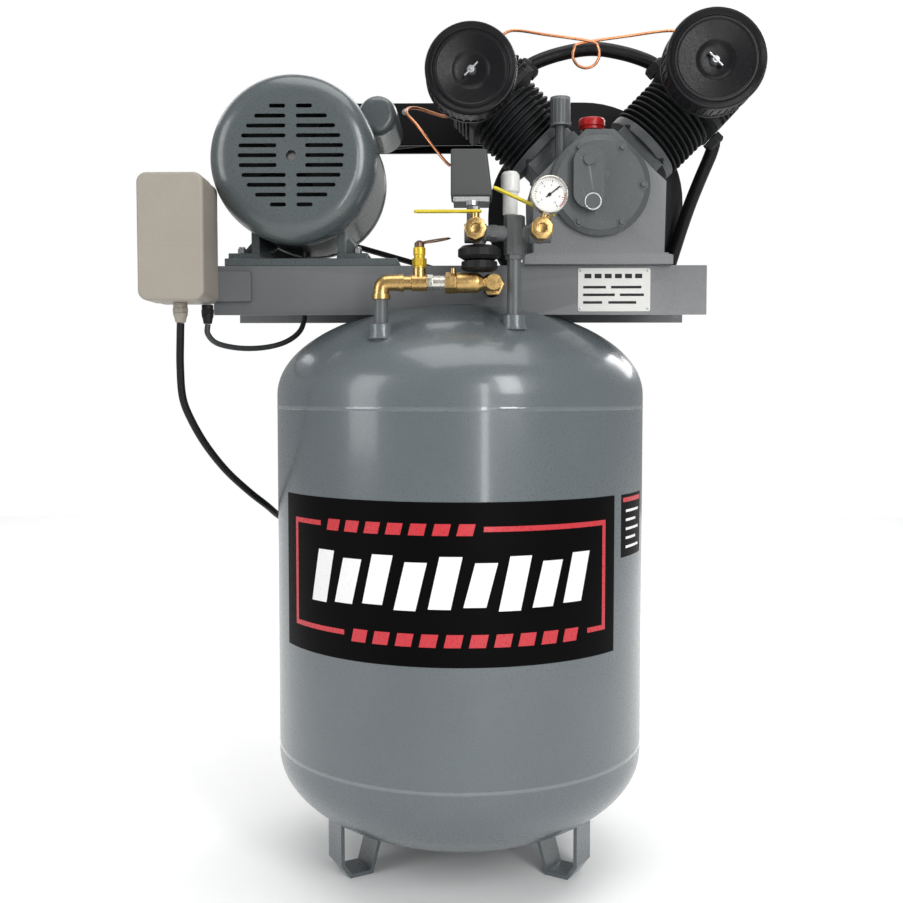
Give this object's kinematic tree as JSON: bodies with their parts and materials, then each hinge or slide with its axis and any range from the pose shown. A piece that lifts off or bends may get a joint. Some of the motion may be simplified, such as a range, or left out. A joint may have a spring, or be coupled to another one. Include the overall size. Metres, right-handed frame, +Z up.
{
  "type": "vertical tank air compressor",
  "caption": "Upright air receiver on strap feet carrying a motor, guarded belt drive and V-type piston pump, with outlet valves, gauge and starter box.",
  "frame": {"origin": "on the floor, at the middle of the machine's length and of the receiver's depth", "axes": "+Z up, +X to the machine's right along the platform, -Y towards the front, where the valves are"},
  "size_m": [0.941, 0.7792, 1.3624],
  "materials": {
    "receiver_paint": "glossy slate grey enamel",
    "platform_paint": "satin slate grey enamel",
    "motor_paint": "glossy grey-green enamel",
    "pump_paint": "satin grey enamel over casting",
    "black_iron": "sand-cast, painted black",
    "black_paint": "semi-gloss black enamel",
    "bare_steel": "machined",
    "piston_alloy": "machined",
    "black_tube": "satin black",
    "pipe_steel": "zinc plated",
    "copper": "drawn copper",
    "brass": "machined, slightly dulled",
    "yellow_brass": "lacquered",
    "pull_steel": "plated wire",
    "yellow_coating": "dipped vinyl over steel",
    "black_plastic": "moulded",
    "needle_paint": "painted black",
    "white_plastic": "moulded",
    "beige_plastic": "moulded, fine texture",
    "red_plastic": "moulded",
    "sight_glass": "clear over oil",
    "belt_rubber": "matte",
    "cord_rubber": "satin jacket"
  },
  "bodies": {
    "frame": {"tank": "receiver_paint", "foot_front_left": "receiver_paint", "foot_front_right": "receiver_paint", "foot_rear": "receiver_paint", "platform": "platform_paint", "motor_fan_cover": "motor_paint", "motor_frame": "motor_paint", "motor_end_bell": "motor_paint", "capacitor_cover": "motor_paint", "crankcase": "pump_paint", "bearing_cover": "pump_paint", "cylinder_left": "black_iron", "cylinder_right": "black_iron", "cylinder_head_left": "black_iron", "cylinder_head_right": "black_iron", "belt_guard": "black_paint", "air_filter_left": "black_paint", "air_filter_right": "black_paint", "crossover_tube": "black_tube", "discharge_tube": "black_tube", "outlet_manifold": "pipe_steel", "pressure_switch_base": "pipe_steel", "gauge_case": "pipe_steel", "unloader_tube": "copper", "pilot_tube": "copper", "ball_valve_left": "brass", "ball_valve_right": "brass", "check_valve_line": "brass", "drain_cock_body": "brass", "safety_valve_body": "yellow_brass", "regulator_body": "black_plastic", "pressure_switch_cover": "black_plastic", "motor_gland": "black_plastic", "plug": "black_plastic", "vent_muffler": "white_plastic", "starter_cover": "beige_plastic", "starter_base": "beige_plastic", "power_gland": "beige_plastic", "oil_sight_glass": "sight_glass", "drive_belt": "belt_rubber", "power_cord": "cord_rubber", "cord_coil": "cord_rubber", "motor_lead": "cord_rubber"},
    "crank": {"crankshaft": "bare_steel", "flywheel": "black_iron"},
    "rotor": {"motor_shaft": "bare_steel", "motor_fan": "black_plastic", "motor_pulley": "black_iron"},
    "piston_left_body": {"piston_left": "piston_alloy", "connecting_rod_left": "bare_steel"},
    "piston_right_body": {"piston_right": "piston_alloy", "connecting_rod_right": "bare_steel"},
    "lever_left": {"valve_lever_left": "yellow_coating"},
    "lever_right": {"valve_lever_right": "yellow_coating"},
    "needle": {"gauge_needle": "needle_paint"},
    "knob": {"regulator_knob": "black_plastic"},
    "safety_pull": {"safety_valve_pull": "pull_steel"},
    "drain_handle": {"drain_cock_handle": "brass"},
    "filler_cap": {"oil_filler_cap": "red_plastic"}
  },
  "joints": [
    {"name": "crank_spin", "type": "hinge", "parent": "frame", "child": "crank", "pos_m": [0.22798, 0, 1.102], "axis": [0, 1, 0], "continuous": true},
    {"name": "motor_spin", "type": "hinge", "parent": "frame", "child": "rotor", "pos_m": [-0.24952, 0, 1.145], "axis": [0, 1, 0], "continuous": true},
    {"name": "piston_left_slide", "type": "slide", "parent": "frame", "child": "piston_left_body", "axis": [-0.7071, 0, 0.7071], "range_m": [-0.0496, 0.0104]},
    {"name": "piston_right_slide", "type": "slide", "parent": "frame", "child": "piston_right_body", "axis": [0.7071, 0, 0.7071], "range_m": [-0.0496, 0.0104]},
    {"name": "left_lever_turn", "type": "hinge", "parent": "frame", "child": "lever_left", "pos_m": [0.03398, -0.232, 1.043], "axis": [0, 0, 1], "range_deg": [0, 90]},
    {"name": "right_lever_turn", "type": "hinge", "parent": "frame", "child": "lever_right", "pos_m": [0.12998, -0.232, 1.017], "axis": [0.4169, 0, 0.909], "range_deg": [-90, 0]},
    {"name": "needle_turn", "type": "hinge", "parent": "frame", "child": "needle", "pos_m": [0.13999, -0.261, 1.06394], "axis": [0, 1, 0], "range_deg": [-175, 95]},
    {"name": "regulator_turn", "type": "hinge", "parent": "frame", "child": "knob", "pos_m": [0.03998, -0.204, 0.97], "axis": [0, 0, 1], "continuous": true},
    {"name": "safety_pull_slide", "type": "slide", "parent": "frame", "child": "safety_pull", "axis": [0, 0, 1], "range_m": [0, 0.003], "stiffness_N_per_m": 1000},
    {"name": "drain_turn", "type": "hinge", "parent": "frame", "child": "drain_handle", "pos_m": [0.07098, 0.296, 0.097], "axis": [0, 1, 0], "range_deg": [0, 90]},
    {"name": "filler_cap_lift", "type": "slide", "parent": "frame", "child": "filler_cap", "axis": [0, 0, 1], "range_m": [0, 0.025]}
  ],
  "couplings": [
    {"joint": "motor_spin", "follows": "crank_spin", "ratio": 2.2329}
  ]
}
